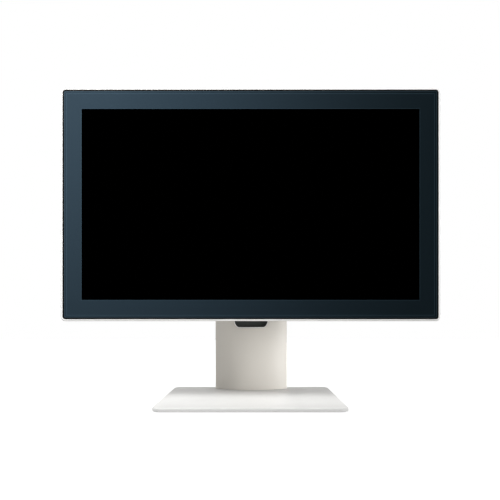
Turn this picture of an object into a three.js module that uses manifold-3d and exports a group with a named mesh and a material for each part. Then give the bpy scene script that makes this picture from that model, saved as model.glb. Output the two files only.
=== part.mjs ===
// All in one PC: a flat display head with the computer inside, on a height-adjustable stand.
// Millimetres, +Z up, the glass faces -Y. The origin is on the desk under the middle of the base.
import * as THREE from 'three';
import { mergeVertices } from 'three/addons/utils/BufferGeometryUtils.js';
import Module from 'manifold-3d';

const wasm = await Module();
wasm.setup();

// ---------------------------------------------------------------- driving dimensions

const GAP = 0.3; // between pieces that touch on the real object
const CORNER_SEGMENTS = 5;
const ROUND_SEGMENTS = 24;

// Display head, in its own frame: y = 0 is the face of the glass, y grows towards the back.
const HEAD = { width: 593, height: 364, corner: 7, wall: 3, frameDepth: 16, edgeDepth: 28, depth: 52 };
const GLASS = { width: 586, height: 357.5, corner: 4, thick: 3 };
const PANEL = { width: 541, height: 313, front: 3.4, back: 13 };
const HUMP = { width: 430, height: 250, corner: 34, round: 20, wall: 2.5 };
const PORT_BAY = { halfWidth: 100, bottom: -128, top: -103 };
const CHASSIS = { width: 460, height: 290, front: 18.5, thick: 1.5 };
const VESA = 100; // hole spacing, mm, M4
const BOARD = { front: 26, thick: 1.6 };
const FAN = { x: 125, z: 10, size: 80, front: 26, back: 41, rotor: 33 };

// Stand.
const FOOT = { radius: 10, height: 1.7, fromEdge: 22 };
const BASE = { width: 281, depth: 226, corner: 13, bottom: 1.6, top: 6.5, wall: 1.8, skin: 1.4 };
const COLUMN = { width: 129, apex: 66, side: 88, back: 109, seam: 95, wall: 2.5, top: 402, lid: 3 };
const SLOT = { width: 59, bottom: 118, top: 374, cornerWide: 8.5, cornerTall: 14 };
const MAST = { halfWidth: 38, front: 82, back: 104.5, sheet: 2.5, top: 396 };
const SPRING = { y: 88, z: 388, radius: 12 };

// Where the moving parts meet at rest.
const PIVOT = { y: 34, z: 311 }; // tilt axis, along X
const GLASS_Y = -36; // face of the glass
const HINGE_DEPTH = PIVOT.y - GLASS_Y; // 70, tilt axis behind the glass

// ---------------------------------------------------------------- materials

const look = (color, roughness, metalness = 0) =>
  new THREE.MeshStandardMaterial({ color, roughness, metalness });
const WHITE = look(0xe9e6e1, 0.5);
const COVER_WHITE = look(0xe3e1dd, 0.55);
const GLASS_DARK = look(0x26343f, 0.08);
const BLACK = look(0x0c0d0e, 0.6);
const CHARCOAL = look(0x2c3130, 0.6);
const RUBBER = look(0x1c1c1c, 0.9);
const STEEL = look(0x9a9d9f, 0.35, 1);
const ZINC = look(0xb9bcbd, 0.4, 1);
const ALUMINIUM = look(0xc8cacb, 0.35, 1);
const COPPER = look(0xb87349, 0.3, 1);
const BOARD_GREEN = look(0x1f4a33, 0.6);
const RIBBON = look(0xd8c48a, 0.5);

// ---------------------------------------------------------------- shape helpers

const X = new THREE.Vector3(1, 0, 0);
const Y = new THREE.Vector3(0, 1, 0);
const Z = new THREE.Vector3(0, 0, 1);
// Turns a shape's plane so that it is extruded along the named axis.
const TURN = {
  x: new THREE.Matrix4().makeBasis(Y, Z, X), // shape (y, z)
  y: new THREE.Matrix4().makeBasis(X, Z, Y.clone().negate()), // shape (x, z)
  z: new THREE.Matrix4(), // shape (x, y)
};

// Extrudes a shape between two values along an axis. bevel rounds both ends inwards.
function extrude(shape, axis, from, to, bevel = 0, bevelSegments = 3) {
  const options = { depth: to - from - 2 * bevel, bevelEnabled: bevel > 0, curveSegments: CORNER_SEGMENTS };
  if (bevel > 0) {
    Object.assign(options, { bevelThickness: bevel, bevelSize: bevel, bevelOffset: -bevel, bevelSegments });
  }
  const geometry = new THREE.ExtrudeGeometry(shape, options).translate(0, 0, bevel);
  geometry.applyMatrix4(TURN[axis]);
  const start = axis === 'y' ? to : from;
  return geometry.translate(axis === 'x' ? start : 0, axis === 'y' ? start : 0, axis === 'z' ? start : 0);
}

function roundedRect(width, height, radius, cx = 0, cy = 0) {
  const w = width / 2 - radius;
  const h = height / 2 - radius;
  const shape = new THREE.Shape();
  shape.absarc(cx + w, cy + h, radius, 0, Math.PI / 2);
  shape.absarc(cx - w, cy + h, radius, Math.PI / 2, Math.PI);
  shape.absarc(cx - w, cy - h, radius, Math.PI, 1.5 * Math.PI);
  shape.absarc(cx + w, cy - h, radius, 1.5 * Math.PI, 2 * Math.PI);
  return shape;
}

function polygon(points) {
  return new THREE.Shape(points.map(([u, v]) => new THREE.Vector2(u, v)));
}

// A box between two corners.
function box(x0, x1, y0, y1, z0, z1) {
  return new THREE.BoxGeometry(x1 - x0, y1 - y0, z1 - z0)
    .translate((x0 + x1) / 2, (y0 + y1) / 2, (z0 + z1) / 2);
}

// A round bar along an axis between two values, centred on the other two coordinates in X, Y, Z order.
function bar(axis, radius, from, to, a, b, sides = ROUND_SEGMENTS) {
  const geometry = new THREE.CylinderGeometry(radius, radius, to - from, sides);
  const middle = (from + to) / 2;
  if (axis === 'x') return geometry.rotateZ(-Math.PI / 2).translate(middle, a, b);
  if (axis === 'y') return geometry.translate(a, middle, b);
  return geometry.rotateX(Math.PI / 2).translate(a, b, middle);
}

// ---------------------------------------------------------------- joining and cutting

function solid(geometry) {
  const bare = geometry.index ? geometry.toNonIndexed() : geometry.clone();
  bare.deleteAttribute('normal');
  bare.deleteAttribute('uv');
  const merged = mergeVertices(bare, 1e-4);
  const mesh = new wasm.Mesh({
    numProp: 3,
    vertProperties: merged.attributes.position.array,
    triVerts: new Uint32Array(merged.index.array),
  });
  return new wasm.Manifold(mesh);
}

function geometryOf(manifold) {
  const mesh = manifold.getMesh();
  const geometry = new THREE.BufferGeometry();
  geometry.setAttribute('position', new THREE.BufferAttribute(new Float32Array(mesh.vertProperties), 3));
  geometry.setIndex(new THREE.BufferAttribute(new Uint32Array(mesh.triVerts), 1));
  const flat = geometry.toNonIndexed();
  flat.computeVertexNormals();
  return flat;
}

const join = (first, ...rest) => geometryOf(rest.reduce((made, g) => made.add(solid(g)), solid(first)));
const cut = (first, ...rest) => geometryOf(rest.reduce((made, g) => made.subtract(solid(g)), solid(first)));
const common = (first, second) => geometryOf(solid(first).intersect(solid(second)));

function part(name, geometry, material, group) {
  const mesh = new THREE.Mesh(geometry, material.clone());
  mesh.name = name;
  group.add(mesh);
  return mesh;
}

// Numbers from first to last, evenly spread.
const spread = (first, last, count) =>
  Array.from({ length: count }, (_, i) => first + ((last - first) * i) / (count - 1));

// ---------------------------------------------------------------- groups

const pc = new THREE.Group();
const stand = new THREE.Group(); // at the origin
const lift = new THREE.Group(); // origin on the tilt axis
const head = new THREE.Group(); // origin at the middle of the glass's face
lift.position.set(0, PIVOT.y, PIVOT.z);
head.position.set(0, GLASS_Y, PIVOT.z);
pc.add(stand, lift, head);

// ---------------------------------------------------------------- base

function addBase() {
  const { width, depth, corner, bottom, top, wall, skin } = BASE;
  const inner = roundedRect(width - 2 * wall, depth - 2 * wall, corner - wall);
  const shell = cut(
    extrude(roundedRect(width, depth, corner), 'z', bottom, top),
    extrude(inner, 'z', bottom - 1, top - skin),
    box(-46, 46, 76, 106.5, bottom, top + 1), // the mast's foot stands in this opening
  );
  part('base_cover', shell, WHITE, stand);

  const inset = wall + GAP;
  const plate = roundedRect(width - 2 * inset, depth - 2 * inset, corner - inset);
  part('base_plate', extrude(plate, 'z', FOOT.height + 0.2, top - skin - GAP), STEEL, stand);

  const footX = width / 2 - FOOT.fromEdge;
  const footY = depth / 2 - FOOT.fromEdge;
  for (const [side, x] of [['left', -footX], ['right', footX]]) {
    for (const [end, y] of [['front', -footY], ['rear', footY]]) {
      part(`foot_${end}_${side}`, bar('z', FOOT.radius, 0, FOOT.height, x, y, 16), RUBBER, stand);
    }
  }
}

// ---------------------------------------------------------------- column

// The column's outline from above: a shallow arc in front, straight sides and back.
// inset moves every wall inwards.
function columnOutline(inset) {
  const half = COLUMN.width / 2;
  const rise = COLUMN.side - COLUMN.apex;
  const arcRadius = (half * half + rise * rise) / (2 * rise);
  const radius = arcRadius - inset;
  const centreY = COLUMN.apex + arcRadius;
  const reach = half - inset;
  const angle = Math.asin(reach / radius);
  const shape = new THREE.Shape();
  shape.moveTo(reach, COLUMN.back - inset);
  shape.lineTo(-reach, COLUMN.back - inset);
  shape.absarc(0, centreY, radius, -Math.PI / 2 - angle, -Math.PI / 2 + angle);
  shape.closePath();
  return shape;
}

// The slot's outline from the front. Its lower corners are tall quarter ellipses and its top is square.
function slotOutline(inset) {
  const half = SLOT.width / 2 - inset;
  const low = SLOT.bottom + inset;
  const high = SLOT.top - inset;
  const wide = SLOT.cornerWide - inset;
  const tall = SLOT.cornerTall - inset;
  const shape = new THREE.Shape();
  shape.moveTo(half, high);
  shape.lineTo(-half, high);
  shape.absellipse(-half + wide, low + tall, wide, tall, Math.PI, 1.5 * Math.PI);
  shape.absellipse(half - wide, low + tall, wide, tall, 1.5 * Math.PI, 2 * Math.PI);
  shape.closePath();
  return shape;
}

function addColumn() {
  const bottom = BASE.top + GAP;
  const { top, wall, seam, back } = COLUMN;
  const tube = (low, high, inset) => extrudeColumn(columnOutline(inset), low, high);
  const hollow = tube(bottom - 1, top + 1, wall);
  const slotCutter = extrude(slotOutline(0), 'y', 50, 90);
  const behindSeam = box(-80, 80, seam, 130, 0, top + 5);
  const beforeSeam = box(-80, 80, 40, seam + GAP, 0, top + 5);
  part('column_front', cut(tube(bottom, top, 0), hollow, slotCutter, behindSeam), WHITE, stand);
  part('column_rear', cut(tube(bottom, top, 0), hollow, beforeSeam), COVER_WHITE, stand);

  const lid = tube(top + GAP, top + COLUMN.lid, 0);
  const collar = cut(
    tube(top - 4, top + 1, wall + GAP),
    tube(top - 5, top + GAP, 2 * wall),
    box(-36, 36, 40, 78, top - 5, top + GAP), // clear of the rail cover
  );
  const cap = join(lid, collar);
  part('column_cap', cap, WHITE, stand);

  // The trim lines the slot and follows the column's curved front just inside its face.
  const ring = cut(extrude(slotOutline(0.4), 'y', 60, 74.6), extrude(slotOutline(2), 'y', 50, 80));
  part('slot_trim', common(ring, tube(100, 390, 0.7)), BLACK, stand);

  // The charcoal panel behind the slot, open up the middle where the lift arm runs.
  const cover = polygon([
    [-33, 100], [33, 100], [33, 392], [15.5, 392], [15.5, 168], [-15.5, 168], [-15.5, 392], [-33, 392],
  ]);
  part('rail_cover', extrude(cover, 'y', 75, 77), CHARCOAL, stand);

  // The mast is one folded steel channel with a foot.
  const { halfWidth, front, back: mastBack, sheet, top: mastTop } = MAST;
  const foot = BASE.top - BASE.skin + 0.2;
  const mast = cut(
    join(
      box(-halfWidth, halfWidth, front, mastBack, foot, mastTop),
      box(-halfWidth - 5, halfWidth + 5, front, mastBack, foot, foot + 3),
    ),
    box(-halfWidth + sheet, halfWidth - sheet, front - 10, mastBack - sheet, foot + 3, mastTop + 1),
    bar('x', 3, -50, 50, SPRING.y, SPRING.z, 16),
  );
  part('mast', mast, STEEL, stand);

  for (const [side, sign] of [['left', -1], ['right', 1]]) {
    const outer = sign * (halfWidth - sheet - GAP);
    const innerFace = sign * 26;
    const groove = sign * 31;
    const span = (a, b) => [Math.min(a, b), Math.max(a, b)];
    const rail = cut(
      box(...span(outer, innerFace), 86, 98, 148, SPRING.z - 14),
      box(...span(groove, innerFace - sign), 89.4, 94.6, 147, SPRING.z - 13),
    );
    part(`slide_rail_${side}`, rail, ZINC, stand);
  }

  part('spring_axle', bar('x', 2.5, -halfWidth - 1, halfWidth + 1, SPRING.y, SPRING.z, 16), STEEL, stand);
  const stripY = SPRING.y + SPRING.radius + GAP;
  part('spring_strip', box(-12, 12, stripY, stripY + 0.5, 326, SPRING.z), ZINC, stand);
  const drum = cut(
    bar('x', SPRING.radius, -14, 14, SPRING.y, SPRING.z, 24),
    bar('x', 3.2, -20, 20, SPRING.y, SPRING.z, 16),
  );
  part('spring_drum', drum, ZINC, stand);
}

// A column section between two heights.
function extrudeColumn(shape, low, high) {
  const options = { depth: high - low, bevelEnabled: false, curveSegments: 16 };
  return new THREE.ExtrudeGeometry(shape, options).translate(0, 0, low);
}

// ---------------------------------------------------------------- lift carriage and hinge

function addLift() {
  const back = 99 - PIVOT.y;
  const front = 84 - PIVOT.y;
  const block = join(
    box(-25.6, 25.6, front, back, -32, 32),
    box(-30.4, 30.4, 55.9, 60.1, -32, 32), // tongues that run in the rails' grooves
  );
  part('carriage', block, ALUMINIUM, lift);

  const profile = polygon([
    [0, -9], [33, -9], [44, -24], [45.5, -24], [45.5, 24], [44, 24], [33, 9], [0, 9],
  ]);
  const arm = cut(
    join(
      extrude(profile, 'x', -13, 13),
      bar('x', 11, -13, 13, 0, 0),
      box(-22, 22, 45, front - GAP, -27, 27),
    ),
    bar('x', 4.4, -20, 20, 0, 0, 16),
  );
  part('lift_arm', arm, STEEL, lift);

  const sleeve = cut(
    extrude(roundedRect(34, 27, 4), 'y', 18, 31),
    extrude(roundedRect(27, 19.2, 1), 'y', 15, 34),
  );
  part('arm_sleeve', sleeve, WHITE, lift);

  const pin = join(bar('x', 4, -31, 31, 0, 0, 16), bar('x', 7, -31, -27, 0, 0, 16));
  part('hinge_pin', pin, STEEL, lift);
  part('hinge_nut', cut(bar('x', 7, 25, 30, 0, 0, 6), bar('x', 4.3, 20, 35, 0, 0, 16)), ZINC, lift);
  for (const [side, low] of [['left', -17.1], ['right', 13.3]]) {
    const washer = cut(bar('x', 10, low, low + 3.8, 0, 0), bar('x', 4.3, low - 1, low + 5, 0, 0, 16));
    part(`friction_washer_${side}`, washer, ZINC, lift);
  }
}

// ---------------------------------------------------------------- display head: front

function addHeadFront() {
  const { width, height, corner, wall, frameDepth } = HEAD;
  const ledge = { front: 4.3, back: 6.3 }; // the glass rests on it
  const window = roundedRect(PANEL.width + 4, PANEL.height + 4, 2);
  const pocket = roundedRect(GLASS.width + 2 * GAP, GLASS.height + 2 * GAP, GLASS.corner + GAP);
  const inside = roundedRect(width - 2 * wall, height - 2 * wall, corner - wall);
  const ring = cut(
    extrude(roundedRect(width, height, corner), 'y', 0.4, frameDepth),
    extrude(window, 'y', -1, 30),
    extrude(pocket, 'y', -1, ledge.front),
    extrude(inside, 'y', ledge.back, 30),
  );
  const bosses = screwPlaces().map(([x, z]) =>
    cut(bar('y', 5, 5.5, frameDepth, x, z, 12), bar('y', 1.8, 9, 20, x, z, 12)));
  const buttonHoles = BUTTONS.map(({ z }) => box(290, 300, 7.7, 13.3, z - 6.3, z + 6.3));
  part('front_frame', cut(join(ring, ...bosses), ...buttonHoles), WHITE, head);

  const glass = roundedRect(GLASS.width, GLASS.height, GLASS.corner);
  part('cover_glass', extrude(glass, 'y', 0, GLASS.thick), GLASS_DARK, head);
  const gasket = cut(
    extrude(roundedRect(GLASS.width - 6, GLASS.height - 6, 3), 'y', GLASS.thick + GAP, 4),
    extrude(roundedRect(GLASS.width - 24, GLASS.height - 24, 3), 'y', 0, 10),
  );
  part('glass_gasket', gasket, BLACK, head);

  const [halfWidth, halfHeight] = [PANEL.width / 2, PANEL.height / 2];
  const panel = box(-halfWidth, halfWidth, PANEL.front, PANEL.back, -halfHeight, halfHeight);
  part('lcd_panel', panel, BLACK, head);
  part('backlight_tray', traySheet(), ZINC, head);
}

// The backlight's steel tray: a sheet with a shallow raised field.
function traySheet() {
  const low = PANEL.back + GAP;
  return join(
    extrude(roundedRect(PANEL.width - 4, PANEL.height - 4, 3), 'y', low, low + 1.2),
    extrude(roundedRect(PANEL.width - 80, PANEL.height - 60, 12), 'y', low + 1, low + 3),
  );
}

// Where the four screws of the rear cover go.
function screwPlaces() {
  const x = HEAD.width / 2 - 15.5;
  const z = HEAD.height / 2 - 14.5;
  return [[-x, -z], [x, -z], [-x, z], [x, z]];
}

// ---------------------------------------------------------------- buttons on the right edge

const BUTTONS = [
  { name: 'power_button', z: -140 },
  { name: 'brightness_down_button', z: -112 },
  { name: 'brightness_up_button', z: -92 },
];

function addButtons() {
  for (const { name, z } of BUTTONS) {
    const cap = extrude(roundedRect(5, 12, 1.6, 10.5, z), 'x', 292, 296.2);
    const flange = box(291, 292.6, 7.2, 13.8, z - 7.4, z + 7.4);
    part(name, join(cap, flange), WHITE, head);
  }
  const switches = BUTTONS.map(({ z }) => box(286, 289.6, 8.5, 12.5, z - 3, z + 3));
  part('button_board', join(box(285, 286.6, 7.2, 14.6, -152, -80), ...switches), BOARD_GREEN, head);
}

// ---------------------------------------------------------------- display head: rear cover

function addRearCover() {
  const { width, height, corner, wall, frameDepth, edgeDepth, depth } = HEAD;
  const start = frameDepth + GAP;
  const inside = HUMP.wall;
  const slab = (inset, from, to, round) =>
    extrude(roundedRect(width - 2 * inset, height - 2 * inset, corner - inset), 'y', from, to, round, 2);
  const hump = (inset, from, to, round) => {
    const outline = roundedRect(HUMP.width - 2 * inset, HUMP.height - 2 * inset, HUMP.corner - inset);
    return extrude(outline, 'y', from, to, round, 4);
  };
  const cutFront = box(-400, 400, -50, start, -300, 300);
  const outer = cut(join(slab(0, 0, edgeDepth, 6), hump(0, -30, depth, HUMP.round)), cutFront);
  const inner = join(
    slab(wall, 0, edgeDepth - inside, 3.5),
    cut(hump(inside, -30, depth - inside, HUMP.round - inside), box(-400, 400, -50, 10, -300, 300)),
  );

  // The port bay is a recess that opens downwards and backwards, with its own walls.
  const { halfWidth, bottom, top } = PORT_BAY;
  const bayHalf = halfWidth + inside;
  const bayWalls = box(-bayHalf, bayHalf, edgeDepth - inside, 60, bottom, top + inside);
  const bay = box(-halfWidth, halfWidth, edgeDepth, 60, bottom, top);
  const sockets = SOCKETS.map(({ x, w, d }) => {
    const half = w / 2 + GAP;
    return box(x - half, x + half, SOCKET_FRONT - GAP, SOCKET_FRONT + d + GAP, top - 1, top + inside + 1);
  });

  const bosses = screwPlaces().map(([x, z]) => bar('y', 5.5, start, edgeDepth - 1, x, z, 12));
  const screwHoles = screwPlaces().flatMap(([x, z]) => [
    bar('y', 2.1, start - 1, edgeDepth + 1, x, z, 12),
    bar('y', 4.2, edgeDepth - 2.4, edgeDepth + 1, x, z, 16),
  ]);
  const mountHoles = vesaPlaces().map(([x, z]) => bar('y', 2.6, depth - 6, depth + 1, x, z, 12));
  const shell = cut(outer, cut(inner, bayWalls, ...bosses), bay);
  part('rear_cover', cut(shell, ...sockets, ...screwHoles, ...mountHoles, ...vents()), COVER_WHITE, head);
}

// Slots that let air in over the fan and beside the port bay and out at the top,
// and rows of slots under the speakers.
function vents() {
  const exhaust = spread(-150, 150, 31).map((x) => box(x - 1.6, x + 1.6, 45, 60, 70, 98));
  const rows = spread(-28, 28, 8).map((dz) => {
    const half = Math.sqrt(34 * 34 - dz * dz);
    return box(FAN.x - half, FAN.x + half, 45, 60, FAN.z + dz - 1.5, FAN.z + dz + 1.5);
  });
  const intake = [-1, 1].flatMap((sign) =>
    spread(118, 182, 8).map((x) => box(sign * x - 1.6, sign * x + 1.6, 45, 60, -98, -74)));
  const speakers = [-1, 1].flatMap((sign) =>
    spread(162, 218, 8).map((x) => box(sign * x - 2, sign * x + 2, 19, 21.5, -190, -170)));
  return [...exhaust, ...rows, ...intake, ...speakers];
}

// ---------------------------------------------------------------- display head: inside

const SOCKET_FRONT = 31; // depth at which every socket starts
const SOCKET_LOW = PORT_BAY.top + 0.4;
const USB_PAIR = [[12.6, 5.4, 4.2], [12.6, 5.4, 11.2]]; // width, depth and place of each mouth
const SOCKETS = [
  { name: 'power_inlet', x: -80, w: 15, d: 13, tall: 15, round: 5.2 },
  { name: 'network_jack', x: -50, w: 17, d: 14, tall: 16, openings: [[12.4, 8.6, 7]] },
  { name: 'usb_socket_1', x: -19, w: 14.4, d: 15.4, tall: 16, openings: USB_PAIR },
  { name: 'usb_socket_2', x: 13, w: 14.4, d: 15.4, tall: 16, openings: USB_PAIR },
  { name: 'display_socket', x: 45, w: 18, d: 7, tall: 12, openings: [[15, 4.6, 3.5]] },
];

const vesaPlaces = () =>
  [[-1, -1], [1, -1], [-1, 1], [1, 1]].map(([a, b]) => [(a * VESA) / 2, (b * VESA) / 2]);

function addSockets() {
  for (const { name, x, w, d, tall, round, openings = [] } of SOCKETS) {
    const [y, low] = [SOCKET_FRONT, SOCKET_LOW];
    const block = box(x - w / 2, x + w / 2, y, y + d, low, low + tall);
    const mouths = openings.map(([wide, deep, at]) =>
      box(x - wide / 2, x + wide / 2, y + at - deep / 2, y + at + deep / 2, low - 1, low + 10));
    if (round) mouths.push(bar('z', round, low - 1, low + 10, x, y + d / 2, 16));
    part(name, cut(block, ...mouths), round ? BLACK : ZINC, head);
  }
}

function addChassis() {
  const { width, height, front, thick } = CHASSIS;
  const sheet = extrude(roundedRect(width, height, 4), 'y', front, front + thick);
  const reach = HEAD.depth - HUMP.wall - GAP;
  const standoffs = vesaPlaces().map(([x, z]) =>
    cut(bar('y', 5.5, front + 0.5, reach, x, z, 12), bar('y', 2.4, 38, 60, x, z, 12)));
  part('chassis', join(sheet, ...standoffs), ZINC, head);
}

function addComputer() {
  const { front, thick } = BOARD;
  const rear = front + thick + GAP; // where what is fitted to the board starts
  const outline = polygon([[-190, -98], [105, -98], [105, -60], [-62, -60], [-62, 100], [-190, 100]]);
  const posts = [[-184, -92], [98, -92], [-184, 94], [-68, 94]].map(([x, z]) =>
    bar('y', 3, CHASSIS.front + CHASSIS.thick + GAP, front + 0.5, x, z, 8));
  part('mainboard', join(extrude(outline, 'y', front, front + thick), ...posts), BOARD_GREEN, head);
  part('cpu_cold_plate', box(-142, -102, rear, 29.8, 0, 40), COPPER, head);

  const fitted = [
    ['memory_module_1', -188, -120, -52, -22],
    ['memory_module_2', -188, -120, 52, 82],
    ['solid_state_drive', -98, -76, 10, 90],
    ['radio_card', -98, -76, -52, -22],
  ];
  for (const [name, x0, x1, z0, z1] of fitted) {
    part(name, box(x0, x1, rear, rear + 3.6, z0, z1), BOARD_GREEN, head);
  }

  const pipe = polygon([
    [-136, 14], [-126, 14], [-116, 69], [156, 69], [156, 77], [-123, 77],
  ]);
  part('heat_pipe', extrude(pipe, 'y', 32, 35), COPPER, head);
  part('fin_stack', finStack(), ALUMINIUM, head);

  for (const [side, sign] of [['left', -1], ['right', 1]]) {
    part(`speaker_${side}`, speaker(sign * 190), BLACK, head);
  }
  part('display_cable', displayCable(), RIBBON, head);
}

// A comb of thin fins standing on one plate.
function finStack() {
  const [x0, x1, base, low, high] = [88, 162, 36.8, 35.3, 47.5];
  const points = [[x0, low], [x1, low]];
  for (const x of spread(x1, x0 + 1.2, 19)) {
    points.push([x, high], [x - 1.2, high], [x - 1.2, base]);
    if (x > x0 + 2) points.push([x - 2.9, base]);
  }
  const comb = polygon(points.slice(0, -1));
  return extrude(comb, 'z', 54, 92);
}

function speaker(x) {
  return join(
    box(x - 38, x + 38, 7, 24, -176, -161),
    bar('z', 6, -177.5, -175.5, x, 15.5, 16),
  );
}

// A flat ribbon from the mainboard over the top of the chassis to the panel's tray.
function displayCable() {
  const outline = polygon([
    [29, 101], [30, 101], [30, 108], [24, 118], [24, 149], [19.5, 153.4], [17, 153.4],
    [17, 152.4], [19, 152.4], [23, 148.4], [23, 117.6], [29, 107.6],
  ]);
  return extrude(outline, 'x', -142, -118);
}

function addFan() {
  const { x, z, size, front, back, rotor } = FAN;
  const depth = 3;
  const housing = cut(
    extrude(roundedRect(size, size, 5, x, z), 'y', front, back),
    bar('y', rotor + 2, front + depth, back + 1, x, z, 32),
  );
  part('fan_housing', join(housing, bar('y', 3, front + 1, back - 2, x, z, 12)), BLACK, head);

  const hub = cut(
    bar('y', 12, front + depth + 1, back - 1, x, z, 20),
    bar('y', 3.5, 0, back - 2 + GAP, x, z, 12),
  );
  const blades = Array.from({ length: 9 }, (_, i) => {
    const angle = (i / 9) * 2 * Math.PI;
    return new THREE.BoxGeometry(22, back - front - depth - 4, 1.6)
      .rotateY(0.35)
      .translate(21.5, 0, 0)
      .rotateY(-angle)
      .translate(x, (front + depth + back) / 2, z);
  });
  part('fan_rotor', join(hub, ...blades), CHARCOAL, head);
}

// ---------------------------------------------------------------- hinge plate on the head

function addHinge() {
  const start = HEAD.depth + GAP;
  const plate = extrude(roundedRect(116, 116, 6), 'y', start, start + 3);
  const earEnd = 12; // radius round the axis
  const ear = new THREE.Shape();
  ear.moveTo(start + 2, -14);
  ear.lineTo(HINGE_DEPTH, -earEnd);
  ear.absarc(HINGE_DEPTH, 0, earEnd, -Math.PI / 2, Math.PI / 2);
  ear.lineTo(start + 2, 14);
  ear.closePath();
  const holes = vesaPlaces().map(([x, z]) => bar('y', 2.6, start - 1, start + 4, x, z, 12));
  const bracket = cut(
    join(plate, extrude(ear, 'x', -23, -17.5), extrude(ear, 'x', 17.5, 23)),
    ...holes,
    bar('x', 4.4, -30, 30, HINGE_DEPTH, 0, 16),
  );
  part('hinge_plate', bracket, STEEL, head);

  // The cover is a rounded box over the hinge, open in the middle for the arm at every tilt.
  const dome = (radius, low) => {
    const shape = new THREE.Shape();
    shape.moveTo(low, -radius);
    shape.lineTo(HINGE_DEPTH, -radius);
    shape.absarc(HINGE_DEPTH, 0, radius, -Math.PI / 2, Math.PI / 2);
    shape.lineTo(low, radius);
    shape.closePath();
    return shape;
  };
  const deg = THREE.MathUtils.degToRad;
  const armWay = polygon([
    [HINGE_DEPTH, 0],
    [HINGE_DEPTH + 30 * Math.cos(deg(-44)), 30 * Math.sin(deg(-44))],
    [HINGE_DEPTH + 30, 0],
    [HINGE_DEPTH + 30 * Math.cos(deg(58)), 30 * Math.sin(deg(58))],
  ]);
  const cover = cut(
    extrude(dome(17, start + 3 + GAP), 'x', -36, 36),
    extrude(dome(15, start - 2), 'x', -34, 34),
    extrude(armWay, 'x', -14.5, 14.5),
  );
  part('hinge_cover', cover, WHITE, head);

  vesaPlaces().forEach(([x, z], i) => {
    const face = start + 3 + GAP;
    const screw = join(bar('y', 3.8, face, face + 2.4, x, z, 16), bar('y', 2, 41, face + 1, x, z, 12));
    part(`mounting_screw_${i + 1}`, screw, STEEL, head);
  });
}

addBase();
addColumn();
addLift();
addHeadFront();
addButtons();
addRearCover();
addSockets();
addChassis();
addComputer();
addFan();
addHinge();

export default pc;
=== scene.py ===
"""All in one PC: a flat display head with the computer inside, on a height-adjustable stand.
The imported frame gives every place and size. Lengths are in metres."""
import math

import bmesh
import bpy
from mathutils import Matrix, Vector


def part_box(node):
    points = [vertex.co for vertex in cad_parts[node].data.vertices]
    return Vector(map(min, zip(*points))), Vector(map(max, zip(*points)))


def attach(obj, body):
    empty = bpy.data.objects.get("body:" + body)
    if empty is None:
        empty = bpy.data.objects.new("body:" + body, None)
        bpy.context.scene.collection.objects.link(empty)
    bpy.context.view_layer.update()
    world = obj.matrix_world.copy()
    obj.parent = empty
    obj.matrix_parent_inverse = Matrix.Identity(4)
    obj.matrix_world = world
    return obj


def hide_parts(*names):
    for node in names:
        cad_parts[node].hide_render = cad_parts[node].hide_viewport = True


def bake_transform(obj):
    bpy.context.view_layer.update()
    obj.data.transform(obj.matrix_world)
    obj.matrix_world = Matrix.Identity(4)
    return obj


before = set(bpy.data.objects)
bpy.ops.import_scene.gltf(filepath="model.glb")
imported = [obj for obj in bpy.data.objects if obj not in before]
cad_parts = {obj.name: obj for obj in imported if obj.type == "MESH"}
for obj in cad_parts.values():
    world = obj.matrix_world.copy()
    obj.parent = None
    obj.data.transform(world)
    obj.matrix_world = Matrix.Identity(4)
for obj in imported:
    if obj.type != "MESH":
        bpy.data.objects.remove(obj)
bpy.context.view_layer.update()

MM = 0.001

# ------------------------------------------------------------------ places taken from the frame

glass_lo, glass_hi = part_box("cover_glass")
frame_lo, frame_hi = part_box("front_frame")
base_lo, base_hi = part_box("base_cover")
column_lo, column_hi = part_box("column_front")
column_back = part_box("column_rear")[1].y

FACE_Y = glass_lo.y  # the glass's face
HEAD_Z = (frame_lo.z + frame_hi.z) / 2
HEAD_W, HEAD_H = (frame_hi.x - frame_lo.x) / MM, (frame_hi.z - frame_lo.z) / MM
GLASS_W, GLASS_H = (glass_hi.x - glass_lo.x) / MM, (glass_hi.z - glass_lo.z) / MM
BASE_W, BASE_D = (base_hi.x - base_lo.x) / MM, (base_hi.y - base_lo.y) / MM
COLUMN_W = (column_hi.x - column_lo.x) / MM

# The same driving sizes as the frame's solids have, in millimetres.
HEAD_CORNER, GLASS_CORNER, BASE_CORNER = 7, 4, 13
ACTIVE_W, ACTIVE_H = 527, 298  # the clear opening over a 23.8 inch picture area
HUMP_W, HUMP_H, HUMP_CORNER, HUMP_ROUND = 430, 250, 34, 20
EDGE_DEPTH, HEAD_DEPTH, FRAME_DEPTH = 28, 52, 16
WALL = 2.5
BAY_HALF, BAY_LOW, BAY_TOP = 100, -128, -103  # the port bay
VESA_HALF = 50
FAN_X, FAN_Z, GRILLE_RADIUS = 125, 10, 34
COLUMN_APEX, COLUMN_SIDE = column_lo.y / MM, 88  # y of the bowed front's middle and of its ends
COLUMN_CORNER, COLUMN_BACK_CORNER = 4, 5
SEAM = column_hi.y / MM
SLOT_HALF, SLOT_LOW, SLOT_TOP = 29.5, 118, 374
SLOT_CORNER_WIDE, SLOT_CORNER_TALL = 8.5, 14
GAP = 0.3
HINGE_DEPTH = 70  # tilt axis behind the glass's face
KEY_LENGTH, KEY_WIDTH = 12, 5

BACKWARDS, DOWNWARDS = Vector((0, 1, 0)), Vector((0, 0, -1))

BUTTON_NODES = ["power_button", "brightness_down_button", "brightness_up_button"]
SOCKET_NODES = ["power_inlet", "network_jack", "usb_socket_1", "usb_socket_2", "display_socket"]


def head(x, depth, z):
    """A point in the head's own millimetres (depth from the glass's face) in the row frame."""
    return Vector((x * MM, FACE_Y + depth * MM, HEAD_Z + z * MM))


def place(x, y, z):
    """A point in the row frame given in millimetres."""
    return Vector((x * MM, y * MM, z * MM))


# ------------------------------------------------------------------ mesh helpers


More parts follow.
